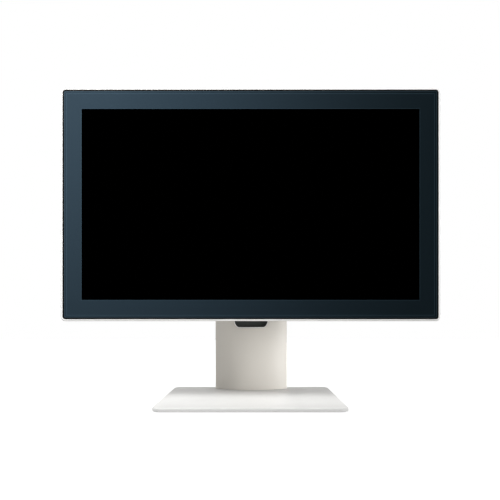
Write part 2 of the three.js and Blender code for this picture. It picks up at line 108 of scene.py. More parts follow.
def rect_loop(width, height, radius, steps=8):
    """Points round a rounded rectangle, the same number whatever its size."""
    points = []
    for k, (sx, sy) in enumerate([(1, 1), (-1, 1), (-1, -1), (1, -1)]):
        cx, cy = sx * (width / 2 - radius), sy * (height / 2 - radius)
        for i in range(steps + 1):
            a = (k + i / steps) * math.pi / 2
            points.append((cx + radius * math.cos(a), cy + radius * math.sin(a)))
    return points


def new_object(name, bm, smooth=32):
    """The bmesh as an object, with edges over the smooth angle kept sharp."""
    bmesh.ops.recalc_face_normals(bm, faces=bm.faces)
    mesh = bpy.data.meshes.new(name)
    bm.to_mesh(mesh)
    bm.free()
    obj = bpy.data.objects.new(name, mesh)
    bpy.context.scene.collection.objects.link(obj)
    shade(obj, smooth)
    return obj


def shade(obj, angle=32):
    for polygon in obj.data.polygons:
        polygon.use_smooth = True
    obj.data.set_sharp_from_angle(angle=math.radians(angle))


def loft_bmesh(rings, closed=False):
    """Faces between rings of points. Open lofts get a cap at each end."""
    bm = bmesh.new()
    rows = [[bm.verts.new(p) for p in ring] for ring in rings]
    pairs = list(zip(rows, rows[1:])) + ([(rows[-1], rows[0])] if closed else [])
    for a, b in pairs:
        for i in range(len(a)):
            j = (i + 1) % len(a)
            bm.faces.new((a[i], a[j], b[j], b[i]))
    if not closed:
        bm.faces.new(rows[0])
        bm.faces.new(rows[-1])
    return bm


def loft(name, rings, closed=False, smooth=32):
    return new_object(name, loft_bmesh(rings, closed), smooth)


def head_ring(width, height, radius, depth):
    return [head(u, depth, v) for u, v in rect_loop(width, height, max(radius, 0.05))]


def prism_bmesh(outline, near, far, to_point):
    """An outline of (u, v) pushed from near to far; to_point(u, v, w) gives the place."""
    return loft_bmesh([[to_point(u, v, w) for u, v in outline] for w in (near, far)])


def quarter(steps, inwards=True):
    """(inset, rise) pairs, 0 to 1, along a quarter round: convex, or concave if not inwards."""
    pairs = []
    for i in range(steps + 1):
        a = i / steps * math.pi / 2
        pairs.append((1 - math.cos(a), math.sin(a)) if inwards else (math.sin(a), 1 - math.cos(a)))
    return pairs


def boolean(obj, cutters, operation="DIFFERENCE"):
    """Cuts or joins bmesh solids, which must not overlap one another, into obj."""
    tool = bpy.data.meshes.new("tool")
    together = bmesh.new()
    for bm in cutters:
        bmesh.ops.recalc_face_normals(bm, faces=bm.faces)
        part = bpy.data.meshes.new("part")
        bm.to_mesh(part)
        bm.free()
        together.from_mesh(part)
        bpy.data.meshes.remove(part)
    together.to_mesh(tool)
    together.free()
    tool_object = bpy.data.objects.new("tool", tool)
    bpy.context.scene.collection.objects.link(tool_object)
    modifier = obj.modifiers.new("cut", "BOOLEAN")
    modifier.object, modifier.operation, modifier.solver = tool_object, operation, "EXACT"
    apply_modifiers(obj)
    bpy.data.objects.remove(tool_object)
    bpy.data.meshes.remove(tool)


def apply_modifiers(obj):
    bpy.context.view_layer.update()
    graph = bpy.context.evaluated_depsgraph_get()
    made = bpy.data.meshes.new_from_object(obj.evaluated_get(graph))
    obj.modifiers.clear()
    old = obj.data
    obj.data = made
    bpy.data.meshes.remove(old)


def bevel(obj, width_mm, segments=2, angle=40):
    """Rounds the edges sharper than the angle, with even shading on the flats."""
    modifier = obj.modifiers.new("edges", "BEVEL")
    modifier.width, modifier.segments = width_mm * MM, segments
    modifier.limit_method, modifier.angle_limit = "ANGLE", math.radians(angle)
    modifier.harden_normals = True


def even_normals(obj):
    modifier = obj.modifiers.new("flats", "WEIGHTED_NORMAL")
    modifier.keep_sharp = True


def stadium(length, width, along_v=True, steps=5):
    """A slot's outline, longest along v or u."""
    r = width / 2
    half = length / 2 - r
    points = []
    for sign in (1, -1):
        for i in range(steps + 1):
            a = i / steps * math.pi
            u, v = sign * r * math.cos(a), sign * (half + r * math.sin(a))
            points.append((u, v) if along_v else (-v, u))
    return points


def moved(outline, du, dv):
    return [(u + du, v + dv) for u, v in outline]


def disc(radius, du=0.0, dv=0.0, steps=24):
    angles = [2 * math.pi * i / steps for i in range(steps)]
    return [(du + radius * math.cos(a), dv + radius * math.sin(a)) for a in angles]


def box_outline(u0, u1, v0, v1):
    return [(u0, v0), (u1, v0), (u1, v1), (u0, v1)]


def spread(first, last, count):
    """Evenly spaced numbers, both ends counted."""
    return [first + (last - first) * i / (count - 1) for i in range(count)]


# Ways to lay an outline of (u, v), which is then pushed along w.


def head_xz(u, v, w):
    return head(u, w, v)


def head_xy(u, v, w):
    return head(u, v, w)


def floor_xy(u, v, w):
    return place(u, v, w)


def front_xz(u, v, w):
    return place(u, w, v)


def yz_at_x(u, v, w):
    return place(w, u, v)


# ------------------------------------------------------------------ materials


class Recipe:
    """A Principled material with helpers for procedural detail in the object's own coordinates."""

    def __init__(self, name, color, roughness, metallic=0.0):
        self.material = bpy.data.materials.new(name)
        self.material.use_nodes = True
        self.tree = self.material.node_tree
        self.shader = self.tree.nodes["Principled BSDF"]
        self.shader.inputs["Base Color"].default_value = (*color, 1)
        self.shader.inputs["Roughness"].default_value = roughness
        self.shader.inputs["Metallic"].default_value = metallic
        self.place = self.tree.nodes.new("ShaderNodeTexCoord").outputs["Object"]
        self.bumps = []

    def set(self, **values):
        for name, value in values.items():
            self.shader.inputs[name.replace("_", " ")].default_value = value
        return self

    def node(self, kind, **properties):
        made = self.tree.nodes.new(kind)
        for key, value in properties.items():
            setattr(made, key, value)
        return made

    def link(self, output, socket):
        self.tree.links.new(output, socket)

    def stretched(self, scale):
        mapping = self.node("ShaderNodeMapping")
        mapping.inputs["Scale"].default_value = scale
        self.link(self.place, mapping.inputs["Vector"])
        return mapping.outputs["Vector"]

    def noise(self, scale, detail=3.0, stretch=None):
        made = self.node("ShaderNodeTexNoise")
        made.inputs["Scale"].default_value = scale
        made.inputs["Detail"].default_value = detail
        self.link(self.stretched(stretch) if stretch else self.place, made.inputs["Vector"])
        return made.outputs["Fac"]

    def cells(self, scale, stretch=None, feature="F1", output="Distance"):
        made = self.node("ShaderNodeTexVoronoi", feature=feature)
        made.inputs["Scale"].default_value = scale
        self.link(self.stretched(stretch) if stretch else self.place, made.inputs["Vector"])
        return made.outputs[output]

    def ramp(self, value, low, high, colors):
        made = self.node("ShaderNodeMapRange")
        made.inputs["From Min"].default_value = low
        made.inputs["From Max"].default_value = high
        self.link(value, made.inputs["Value"])
        mix = self.node("ShaderNodeMix", data_type="RGBA")
        mix.inputs["A"].default_value = (*colors[0], 1)
        mix.inputs["B"].default_value = (*colors[1], 1)
        self.link(made.outputs["Result"], mix.inputs["Factor"])
        return mix.outputs["Result"]

    def vary_color(self, value, low, high, first, second):
        self.link(self.ramp(value, low, high, (first, second)), self.shader.inputs["Base Color"])
        return self

    def vary_roughness(self, value, low, high):
        made = self.node("ShaderNodeMapRange")
        made.inputs["From Min"].default_value = 0.3
        made.inputs["From Max"].default_value = 0.7
        made.inputs["To Min"].default_value = low
        made.inputs["To Max"].default_value = high
        self.link(value, made.inputs["Value"])
        self.link(made.outputs["Result"], self.shader.inputs["Roughness"])
        return self

    def bump(self, value, distance, strength=1.0):
        made = self.node("ShaderNodeBump")
        made.inputs["Distance"].default_value = distance
        made.inputs["Strength"].default_value = strength
        self.link(value, made.inputs["Height"])
        if self.bumps:
            self.link(self.bumps[-1], made.inputs["Normal"])
        self.bumps.append(made.outputs["Normal"])
        self.link(made.outputs["Normal"], self.shader.inputs["Normal"])
        return self


def tint(color, factor):
    return tuple(min(1.0, c * factor) for c in color)


def moulded_plastic(name, color, roughness=0.45, grain=2200, depth=0.00002):
    """Spark-eroded mould texture, with faint clouding of colour and gloss."""
    recipe = Recipe(name, color, roughness)
    cloud = recipe.noise(9, 2)
    recipe.vary_color(cloud, 0.3, 0.7, tint(color, 0.985), tint(color, 1.012))
    recipe.vary_roughness(recipe.noise(60, 3), roughness - 0.05, roughness + 0.06)
    recipe.bump(recipe.noise(grain, 2), depth, 0.5)
    return recipe.material


def brushed_metal(name, color, roughness, stretch):
    recipe = Recipe(name, color, roughness, 1.0)
    lines = recipe.noise(1800, 3, stretch)
    recipe.vary_color(lines, 0.3, 0.7, tint(color, 0.94), tint(color, 1.05))
    recipe.vary_roughness(lines, roughness - 0.03, roughness + 0.07)
    recipe.bump(lines, 0.000004, 0.3)
    return recipe.material


def zinc_metal(name, color):
    """Zinc-plated sheet with its faint spangle."""
    recipe = Recipe(name, color, 0.38, 1.0)
    spangle = recipe.cells(260, output="Color")
    grey = recipe.node("ShaderNodeRGBToBW")
    recipe.link(spangle, grey.inputs["Color"])
    recipe.vary_color(grey.outputs["Val"], 0.2, 0.8, tint(color, 0.95), tint(color, 1.04))
    recipe.vary_roughness(recipe.noise(140, 2), 0.36, 0.46)
    recipe.bump(recipe.noise(2400, 2), 0.000003, 0.3)
    return recipe.material


def rubber(name):
    recipe = Recipe(name, (0.018, 0.018, 0.018), 0.8)
    recipe.vary_color(recipe.noise(300, 4), 0.3, 0.7, (0.012, 0.012, 0.012), (0.028, 0.027, 0.026))
    recipe.bump(recipe.cells(1500), 0.00008, 0.6)
    return recipe.material


def coated_glass(name, ink=1.0, gloss=1.0):
    """Slate print under coated glass, which tints what it reflects.
    Ink scales the print's lightness and gloss the strength of the reflections."""
    print_color = tint((0.0064, 0.0114, 0.0148), ink)
    recipe = Recipe(name, print_color, 0.12)
    recipe.set(IOR=1.5, Specular_Tint=(0.40, 0.66, 0.93, 1.0), Specular_IOR_Level=0.5 * gloss)
    recipe.vary_color(recipe.noise(1400, 2), 0.3, 0.7, tint(print_color, 0.94), tint(print_color, 1.06))
    recipe.vary_roughness(recipe.noise(30, 3), 0.10, 0.14)
    return recipe.material


def screen_black():
    """The picture area, switched off: black with hardly any sheen."""
    recipe = Recipe("screen_black", (0.0, 0.0, 0.0), 0.35)
    recipe.set(Specular_IOR_Level=0.0)
    recipe.vary_color(recipe.noise(4000, 1), 0.3, 0.7, (0.0, 0.0, 0.0), (0.00004, 0.00004, 0.00005))
    return recipe.material


def matt_edge_paint(name, color, roughness):
    """Black paint at the glass's edge, too matt to mirror the lights."""
    recipe = Recipe(name, color, roughness)
    recipe.set(Specular_IOR_Level=0.06)
    recipe.vary_color(recipe.noise(800, 2), 0.3, 0.7, tint(color, 0.9), tint(color, 1.1))
    return recipe.material


def circuit_board(name):
    """Green solder mask over copper tracks, with tinned pads."""
    recipe = Recipe(name, (0.02, 0.09, 0.045), 0.35)
    tracks = recipe.cells(420, (1.0, 1.0, 4.0), "DISTANCE_TO_EDGE")
    recipe.vary_color(tracks, 0.02, 0.06, (0.03, 0.16, 0.07), (0.012, 0.07, 0.035))
    recipe.bump(tracks, 0.00003, 0.5)
    recipe.vary_roughness(recipe.noise(200, 3), 0.28, 0.45)
    return recipe.material


def copper(name):
    recipe = Recipe(name, (0.72, 0.34, 0.18), 0.3, 1.0)
    recipe.vary_color(recipe.noise(45, 5), 0.35, 0.7, (0.74, 0.36, 0.2), (0.42, 0.19, 0.11))
    recipe.vary_roughness(recipe.noise(300, 4, (0.1, 1, 1)), 0.22, 0.42)
    return recipe.material


WHITE = moulded_plastic("white_plastic", (0.745, 0.742, 0.728))
COLUMN_WHITE = moulded_plastic("column_plastic", (0.795, 0.757, 0.698))
COVER_WHITE = moulded_plastic("cover_plastic", (0.735, 0.728, 0.71), 0.5, 1500, 0.00004)
# The lip plastic is a lighter, glossier copy of the column's plastic: a painted highlight on the slot's
# rounded lip.
LIP_PAINTED_HIGHLIGHT = moulded_plastic("lip_painted_highlight", (0.90, 0.885, 0.865), 0.3)
# Rim and side plastics are a lighter and a darker copy of one white plastic: painted light on the rim's
# front, painted shade on its sides and rounds.
RIM_FRONT_PAINTED_LIGHT = moulded_plastic("rim_front_painted_light", (0.91, 0.905, 0.89), 0.4)
RIM_SIDE_PAINTED_SHADE = moulded_plastic("rim_side_painted_shade", (0.69, 0.685, 0.67), 0.42)
KEY_WHITE = moulded_plastic("key_plastic", (0.70, 0.70, 0.69), 0.35, 3000, 0.00001)
BLACK = moulded_plastic("black_plastic", (0.012, 0.012, 0.013), 0.5)
CHARCOAL = moulded_plastic("charcoal_plastic", (0.042, 0.048, 0.044), 0.55)
RUBBER = rubber("rubber")
STEEL = brushed_metal("brushed_steel", (0.42, 0.43, 0.44), 0.32, (0.04, 1, 1))
UPRIGHT_STEEL = brushed_metal("upright_steel", (0.40, 0.41, 0.42), 0.36, (1, 1, 0.03))
ZINC = zinc_metal("zinc_plated", (0.55, 0.56, 0.58))
ALUMINIUM = brushed_metal("aluminium", (0.62, 0.63, 0.64), 0.3, (1, 1, 0.05))
COPPER = copper("copper")
BOARD = circuit_board("circuit_board")
RIBBON = moulded_plastic("ribbon_film", (0.52, 0.36, 0.12), 0.3, 1200, 0.00001)
BORDER = coated_glass("glass_border")
GLASS_DIM = coated_glass("glass_dim_line", 0.3, 0.88)
# The hairline material is lighter and glossier than the border: painted reflection of the chamfer just
# inside the edge, and lighter lines elsewhere.
GLASS_HAIRLINE_AND_GLINT = coated_glass("glass_hairline_painted_glint", 2.3, 1.1)
GLASS_EDGE = matt_edge_paint("glass_edge", (0.0022, 0.0028, 0.0032), 0.4)
ACTIVE = screen_black()


def paint(obj, *materials):
    obj.data.materials.clear()
    for material in materials:
        obj.data.materials.append(material)


def finish_piece(obj, body, slot, *nodes):
    """Puts a piece on its body, in the place of CAD nodes. The slot argument is not used."""
    if nodes:
        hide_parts(*nodes)
    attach(obj, body)


# ------------------------------------------------------------------ cover glass


def make_glass():
    """Glass with a chamfered edge. Its face is a printed border, with fine lines, round the picture area.
    The lighter line just inside the edge band is a painted reflection of the chamfer.
    """
    materials = [BORDER, ACTIVE, GLASS_EDGE, GLASS_HAIRLINE_AND_GLINT, GLASS_DIM]
    line = 0.8  # the light line round the picture area

    def ring(inset, depth=0.0):
        return head_ring(GLASS_W - 2 * inset, GLASS_H - 2 * inset, GLASS_CORNER - min(inset, 3.6), depth)

    # Each ring comes with the material of the strip that leads to it.
    # The lighter strip from 2.4 to 3.8 mm in is a painted reflection of the chamfer; the other two hairline
    # strips are lighter lines of the same material.
    steps = [
        (GLASS_EDGE, ring(0.4, 3)), (GLASS_EDGE, ring(0, 2.6)), (GLASS_EDGE, ring(0, 0.5)),
        (GLASS_EDGE, ring(0.5)), (GLASS_EDGE, ring(2.4)), (GLASS_HAIRLINE_AND_GLINT, ring(3.8)),
        (GLASS_DIM, ring(5.2)), (GLASS_HAIRLINE_AND_GLINT, ring(6.5)),
        (BORDER, head_ring(ACTIVE_W + 2 * line, ACTIVE_H + 2 * line, 0.8, 0)),
        (GLASS_HAIRLINE_AND_GLINT, head_ring(ACTIVE_W, ACTIVE_H, 0.3, 0)),
    ]
    rings = [made for _, made in steps]
    obj = loft("front_glass", rings, smooth=25)
    paint(obj, *materials)
    count = len(rings[0])
    last_strip = len(rings) - 1
    for polygon in obj.data.polygons:
        strip = polygon.index // count
        if strip < last_strip:
            polygon.material_index = materials.index(steps[strip + 1][0])
        else:  # the caps: the back of the glass, then the picture area
            is_front = polygon.index == last_strip * count + 1
            polygon.material_index = materials.index(ACTIVE if is_front else GLASS_EDGE)
    finish_piece(obj, "head", "cover_glass", "cover_glass")


# ------------------------------------------------------------------ front frame


def make_front_frame():
    """The white rim: a thin rounded wall round the glass with a ledge behind it."""
    rim_round, front = 1.5, 0.4
    ledge_front, ledge_back, ledge_w, ledge_h = 4.3, 6.3, 545, 317
    wall = 3
    rounded = [(inset * rim_round, front + rim_round * (1 - rise)) for inset, rise in quarter(5)]

    def ring(inset, depth):
        return head_ring(HEAD_W - 2 * inset, HEAD_H - 2 * inset, HEAD_CORNER - inset, depth)

    def pocket(extra, depth):
        return head_ring(GLASS_W + 2 * extra, GLASS_H + 2 * extra, GLASS_CORNER + extra, depth)

    rings = [ring(0, FRAME_DEPTH - 0.3)] + [ring(inset, depth) for inset, depth in rounded]
    rings += [pocket(0.6, front), pocket(GAP, front + 0.3), pocket(GAP, ledge_front)]
    rings += [head_ring(ledge_w, ledge_h, 2, depth) for depth in (ledge_front, ledge_back)]
    rings += [ring(wall, ledge_back), ring(wall, FRAME_DEPTH), ring(0.3, FRAME_DEPTH)]
    obj = loft("white_rim", rings, closed=True)
    boolean(obj, [button_hole(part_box(name)) for name in BUTTON_NODES])
    shade(obj, 35)
    # The lighter copy on the forward faces is painted light; the darker copy on the sides, rounds and pocket
    # is painted shade.
    paint(obj, RIM_SIDE_PAINTED_SHADE, RIM_FRONT_PAINTED_LIGHT)
    for polygon in obj.data.polygons:
        if polygon.normal.y < -0.8:  # the rim's front, in the lighter copy: painted light; the other faces keep the darker copy as painted shade
            polygon.material_index = 1
    finish_piece(obj, "head", "white_plastic", "front_frame")


def button_hole(box):
    """A rounded hole through the right edge for one button."""
    lo, hi = box
    centre = (lo + hi) / 2 / MM
    outline = moved(stadium(KEY_LENGTH + 2 * GAP, KEY_WIDTH + 2 * GAP), centre.y, centre.z)
    return prism_bmesh(outline, 290, 300, yz_at_x)


def make_buttons():
    """Key caps with rounded edges and a dished face."""
    for name in BUTTON_NODES:
        lo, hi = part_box(name)
        centre = (lo + hi) / 2 / MM
        face = hi.x / MM
        profile = [(0, 291.2), (0, face - 0.8), (0.25, face - 0.25), (0.8, face), (1.4, face - 0.15)]
        rings = []
        for inset, x in profile:
            outline = stadium(KEY_LENGTH - 2 * inset, KEY_WIDTH - 2 * inset, steps=8)
            rings.append([yz_at_x(u, v, x) for u, v in moved(outline, centre.y, centre.z)])
        cap = loft("key_" + name, rings, smooth=50)
        paint(cap, KEY_WHITE)
        finish_piece(cap, name, "white_plastic", name)


# ------------------------------------------------------------------ rear cover


def hump_ring(inset, depth):
    return head_ring(HUMP_W - 2 * inset, HUMP_H - 2 * inset, HUMP_CORNER - inset, depth)


def hump_dome(under):
    """Rings over the hump's round rim to its back, at a given depth under the outer skin."""
    bend, rear = HUMP_ROUND - under, HEAD_DEPTH - under
    return [hump_ring(under + i * bend, rear - bend * (1 - r)) for i, r in quarter(9)]


def rear_shell_rings():
    """Inner and outer skin of the rear cover as one run of rings, from the inner cap outwards."""
    slab_round, fillet, chamfer = 7, 4, 0.4
    start = FRAME_DEPTH + GAP

    def slab(inset, depth):
        return head_ring(HEAD_W - 2 * inset, HEAD_H - 2 * inset, HEAD_CORNER - min(inset, 6.5), depth)

    def skin(under):
        edge, bend = EDGE_DEPTH - under, slab_round - under
        run = [slab(under + i * bend, edge - bend * (1 - r)) for i, r in quarter(6)]
        foot = [hump_ring(under - fillet * (1 - i), edge + fillet * r) for i, r in quarter(4, False)]
        return run + foot + hump_dome(under)

    inner = [slab(WALL, start)] + skin(WALL)
    outer = [slab(chamfer, start), slab(0, start + chamfer)] + skin(0)
    return inner[::-1] + outer


def vent_cutters():
    """Exhaust, fan and intake slots through the hump's back, and speaker slots through the lower edge."""
    exhaust_z, intake_z, speaker_depth = 84, -86, 20.2

    def through_back(outline, x, z):
        return prism_bmesh(moved(outline, x, z), HEAD_DEPTH - 8, HEAD_DEPTH + 8, head_xz)

    cutters = [through_back(stadium(28, 3.2), x, exhaust_z) for x in spread(-150, 150, 31)]
    for rise in spread(-28, 28, 8):
        chord = 2 * math.sqrt(GRILLE_RADIUS * GRILLE_RADIUS - rise * rise)
        cutters.append(through_back(stadium(chord, 3, False), FAN_X, FAN_Z + rise))
    for sign in (-1, 1):
        cutters += [through_back(stadium(24, 3.2), sign * x, intake_z) for x in spread(118, 182, 8)]
        for x in spread(162, 218, 8):
            outline = moved(stadium(4.2, 2.4), sign * x, speaker_depth)
            cutters.append(prism_bmesh(outline, -190, -172, head_xy))
    return cutters


def bay_walls():
    """The port bay's walls as a solid block, trimmed to lie just within the hump's outer skin."""
    under = 0.1
    block = loft("bay_walls", [hump_ring(under, EDGE_DEPTH - WALL)] + hump_dome(under))
    walls = box_outline(-BAY_HALF - WALL, BAY_HALF + WALL, EDGE_DEPTH - WALL - 1, HEAD_DEPTH + 1)
    boolean(block, [prism_bmesh(walls, BAY_LOW, BAY_TOP + WALL, head_xy)], "INTERSECT")
    trimmed = bmesh.new()
    trimmed.from_mesh(block.data)
    bpy.data.objects.remove(block)
    return trimmed


def socket_window(name):
    """An opening for one socket through the port bay's ceiling."""
    lo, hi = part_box(name)
    outline = box_outline(lo.x / MM - GAP, hi.x / MM + GAP,
                          (lo.y - FACE_Y) / MM - GAP, (hi.y - FACE_Y) / MM + GAP)
    return prism_bmesh(outline, BAY_TOP - 1, BAY_TOP + WALL + 1, head_xy)


def make_rear_cover():
    """The hollow cover with its port bay and vents, and the screws in its corners."""
    obj = loft("back_cover", rear_shell_rings())
    boolean(obj, [bay_walls()], "UNION")
    bay = box_outline(-BAY_HALF, BAY_HALF, EDGE_DEPTH, HEAD_DEPTH + 8)
    boolean(obj, [prism_bmesh(bay, BAY_LOW - 4, BAY_TOP, head_xy)])
    screw_x, screw_z, screw_seat = HEAD_W / 2 - 15.5, HEAD_H / 2 - 14.5, EDGE_DEPTH - 2
    signs = [(sx, sz) for sx in (-1, 1) for sz in (-1, 1)]
    recesses = [prism_bmesh(disc(4.2, sx * screw_x, sz * screw_z), screw_seat, EDGE_DEPTH + 4, head_xz)
                for sx, sz in signs]
    holes = [prism_bmesh(disc(2.6, sx * VESA_HALF, sz * VESA_HALF), HEAD_DEPTH - 6, HEAD_DEPTH + 4, head_xz)
             for sx, sz in signs]
    boolean(obj, [socket_window(name) for name in SOCKET_NODES] + recesses + holes + vent_cutters())
    shade(obj, 30)
    bevel(obj, 0.3, 2, 50)
    even_normals(obj)
    paint(obj, COVER_WHITE)
    finish_piece(obj, "head", "cover_plastic", "rear_cover")
    for k, (sz, sx) in enumerate(signs):  # along the lower edge, then along the upper one
        seat = head(sx * screw_x, screw_seat, sz * screw_z)
        make_screw(f"cover_screw_{k + 1}", seat, BACKWARDS, 3.6, "head")


def make_screw(name, seat, axis, radius, body, rise=1.6, shank=None, nodes=()):
    """A domed screw head with a hexagon recess, standing on its seat along an axis.
    The shank, if given, is (radius, length) in millimetres."""
    profile = [(radius * 0.98, 0), (radius, 0.3), (radius * 0.92, rise * 0.6),
               (radius * 0.7, rise * 0.9), (radius * 0.5, rise)]
    recess_depth = 1.1
    turn = axis.to_track_quat("Z", "Y")
    steps = 24

    def ring(r, height, sides=None):
        points = []
        for i in range(steps):
            a = 2 * math.pi * i / steps
            reach = r
            if sides:  # a polygon with the same number of points
                part = math.pi / sides
                reach = r * math.cos(part) / math.cos((a % (2 * part)) - part)
            points.append(seat + turn @ Vector((reach * math.cos(a), reach * math.sin(a), height)) * MM)
        return points

    rings = [ring(r, h) for r, h in profile]
    rings += [ring(radius * 0.42, rise, 6), ring(radius * 0.40, rise - recess_depth, 6)]
    if shank:
        rings = [ring(shank[0], -shank[1]), ring(shank[0], 0)] + rings
    obj = loft(name, rings, smooth=35)
    paint(obj, STEEL)
    finish_piece(obj, body, "steel", *nodes)


# ------------------------------------------------------------------ hinge


def make_hinge_cover():
    """The rounded hood over the tilt hinge, open at the back for the arm at every tilt."""
    low = HEAD_DEPTH + 2 * GAP + 3
    outer, inner, half_length, end_round = 17, 15, 36, 2.6

    def dome(radius, start):
        """An outline of (depth, z): a half round about the tilt axis, with flat sides to the start."""
        angles = spread(0, math.pi, 37)
        arc = [(HINGE_DEPTH + radius * math.sin(a), -radius * math.cos(a)) for a in angles]
        return [(start, -radius)] + arc + [(start, radius)]

    def slice_at(x, inset):
        return [head(x, depth, z) for depth, z in dome(outer - inset, low)]

    left = [slice_at(-half_length + end_round * (1 - r), end_round * i) for i, r in quarter(5)]
    right = [slice_at(half_length - end_round * (1 - r), end_round * i) for i, r in quarter(5)]
    obj = loft("hinge_hood", left[::-1] + right)

    def across(u, v, w):
        return head(w, u, v)

    half = half_length - 2
    boolean(obj, [prism_bmesh(dome(inner, low - 4), -half, half, across)])
    # The arm's way out is a wedge from the axis, as wide as the arm and its play.
    reach, arm_half = 30, 14.5
    way = [(HINGE_DEPTH, 0)]
    for angle in (-44, 0, 58):
        a = math.radians(angle)
        way.append((HINGE_DEPTH + reach * math.cos(a), reach * math.sin(a)))
    boolean(obj, [prism_bmesh(way, -arm_half, arm_half, across)])
    shade(obj, 30)
    bevel(obj, 0.5, 3, 40)
    even_normals(obj)
    paint(obj, WHITE)
    finish_piece(obj, "head", "white_plastic", "hinge_cover")


def make_mounting_screws():
    """The four screws, heads and shanks, that hold the hinge plate on the head."""
    rise = 2.4
    for k in range(1, 5):
        node = f"mounting_screw_{k}"
        lo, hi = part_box(node)
        seat = Vector(((lo.x + hi.x) / 2, hi.y - rise * MM, (lo.z + hi.z) / 2))
        shank = (2, (seat.y - lo.y) / MM)
        make_screw(f"plate_screw_{k}", seat, BACKWARDS, 3.8, "head", rise, shank, (node,))


# ------------------------------------------------------------------ column


def front_arc():
    """The centre's y and the radius of the column's bowed front, seen from above."""
    half, rise = COLUMN_W / 2, COLUMN_SIDE - COLUMN_APEX
    radius = (half * half + rise * rise) / (2 * rise)
    return COLUMN_APEX + radius, radius


def column_path(inset):
    """The column's outline from above, from the right seam round the front to the left seam."""
    centre_y, outer_radius = front_arc()
    radius, side = outer_radius - inset, COLUMN_W / 2 - inset
    round_r = max(COLUMN_CORNER - inset, 0.6)
    # A small circle touches both the side and the inside of the front arc.
    cx = side - round_r
    cy = centre_y - math.sqrt((radius - round_r) ** 2 - cx * cx)
    arc_end = math.atan2(cy - centre_y, cx)  # where the corner round meets the arc
    right = [(side, SEAM)]
    right += [(cx + round_r * math.cos(a), cy + round_r * math.sin(a)) for a in spread(0, arc_end, 9)]
    facets = 42  # this count keeps their edges clear of the slot's rounded lip
    front = [(radius * math.cos(a), centre_y + radius * math.sin(a))
             for a in spread(arc_end, -math.pi - arc_end, facets + 1)[1:-1]]
    return right + front + [(-u, v) for u, v in right[::-1]]


def slot_outline():
    """Square at the top, with tall quarter ellipses for the lower corners."""
    wide, tall = SLOT_CORNER_WIDE, SLOT_CORNER_TALL
    corner = [(SLOT_HALF - wide + wide * math.sin(a), SLOT_LOW + tall - tall * math.cos(a))
              for a in spread(0, math.pi / 2, 11)]
    right = corner + [(SLOT_HALF, SLOT_TOP)]
    return right + [(-u, v) for u, v in right[::-1]]


def bevel_where(obj, test, width_mm, segments):
    """Rounds only the edges that a test picks. The new faces get the second material."""
    bm = bmesh.new()
    bm.from_mesh(obj.data)
    edges = [e for e in bm.edges if len(e.link_faces) == 2 and test(e)]
    bmesh.ops.bevel(bm, geom=edges, offset=width_mm * MM, segments=segments, profile=0.5,
                     affect="EDGES", material=1)
    bm.to_mesh(obj.data)
    bm.free()


def on_slot_mouth(edge):
    """Whether this is a sharp edge where the slot cuts the column's outer skin."""
    centre_y, radius = front_arc()
    for point in (vert.co / MM for vert in edge.verts):
        if abs(point.x) > SLOT_HALF + 1 or not SLOT_LOW - 0.5 < point.z < SLOT_TOP + 0.5:
            return False
        skin_y = centre_y - math.sqrt(radius ** 2 - point.x ** 2)
        if abs(point.y - skin_y) > 0.12:
            return False
    return edge.calc_face_angle(0) > math.radians(40)


def make_column_front(low, top):
    section = column_path(0) + column_path(WALL)[::-1]
    front = new_object("column_shell", prism_bmesh(section, low, top, floor_xy))
    boolean(front, [prism_bmesh(slot_outline(), 50, 90, front_xz)])
    # The second material, lighter than the column's plastic, is a painted highlight on the slot's rounded
    # lip.
    paint(front, COLUMN_WHITE, LIP_PAINTED_HIGHLIGHT)
    bevel_where(front, on_slot_mouth, 1.5, 3)
    shade(front, 30)
    even_normals(front)
    finish_piece(front, "stand", "white_plastic", "column_front")


def back_path(inset, seam):
    """The rear cover's outline: from the right seam round the back to the left seam."""
    side, back = COLUMN_W / 2 - inset, column_back / MM - inset
    r = max(COLUMN_BACK_CORNER - inset, 0.6)
    right = [(side, seam)]
    right += [(side - r + r * math.cos(a), back - r + r * math.sin(a)) for a in spread(0, math.pi / 2, 9)]
    return right + [(-u, v) for u, v in right[::-1]]


def make_column_back(low, top):
    seam = SEAM + GAP
    section = back_path(0, seam) + back_path(WALL, seam)[::-1]
    rear = new_object("column_back", prism_bmesh(section, low, top, floor_xy))
    screw_heights, screw_seat = (60, 345), 108
    recesses = [prism_bmesh(disc(4.2, 0, z), screw_seat, 112, front_xz) for z in screw_heights]
    boolean(rear, recesses)
    bevel(rear, 0.35, 2, 50)
    paint(rear, COVER_WHITE)
    finish_piece(rear, "stand", "cover_plastic", "column_rear")
    for k, z in enumerate(screw_heights):
        make_screw(f"column_screw_{k + 1}", place(0, screw_seat, z), BACKWARDS, 3.5, "stand", 0.9)


def whole_outline(inset):
    """The whole column outline, front and back, closed."""
    front = column_path(inset)[::-1]
    return front[1:-1] + back_path(inset, SEAM)


def make_column_cap(top):
    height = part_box("column_cap")[1].z / MM
    profile = [(0.5, top + GAP), (0, top + GAP + 0.4), (0, height - 1.4),
               (0.2, height - 0.7), (0.7, height - 0.2), (1.4, height)]
    rings = [[place(u, v, z) for u, v in whole_outline(inset)] for inset, z in profile]
    cap = loft("column_top", rings, smooth=40)
    paint(cap, COLUMN_WHITE)
    finish_piece(cap, "stand", "white_plastic", "column_cap")


def make_column():
    low, top = column_lo.z / MM, column_hi.z / MM
    make_column_front(low, top)
    make_column_back(low, top)
    make_column_cap(top)


def make_spring_strip():
    """The spring's flat strip, from the drum on the stand down to the carriage, which draws it out."""
    lo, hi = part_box("spring_strip")
    corners = box_outline(lo.x, hi.x, lo.y, hi.y)
    rings = [[Vector((x, y, z)) for x, y in corners] for z in spread(lo.z, hi.z, 25)]
    obj = loft("spring_tape", rings)
    paint(obj, UPRIGHT_STEEL)
    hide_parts("spring_strip")
    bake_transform(obj)


# ------------------------------------------------------------------ base


def base_ring(inset, z):
    return [place(u, v, z) for u, v in
            rect_loop(BASE_W - 2 * inset, BASE_D - 2 * inset, BASE_CORNER - min(inset, 6), 10)]


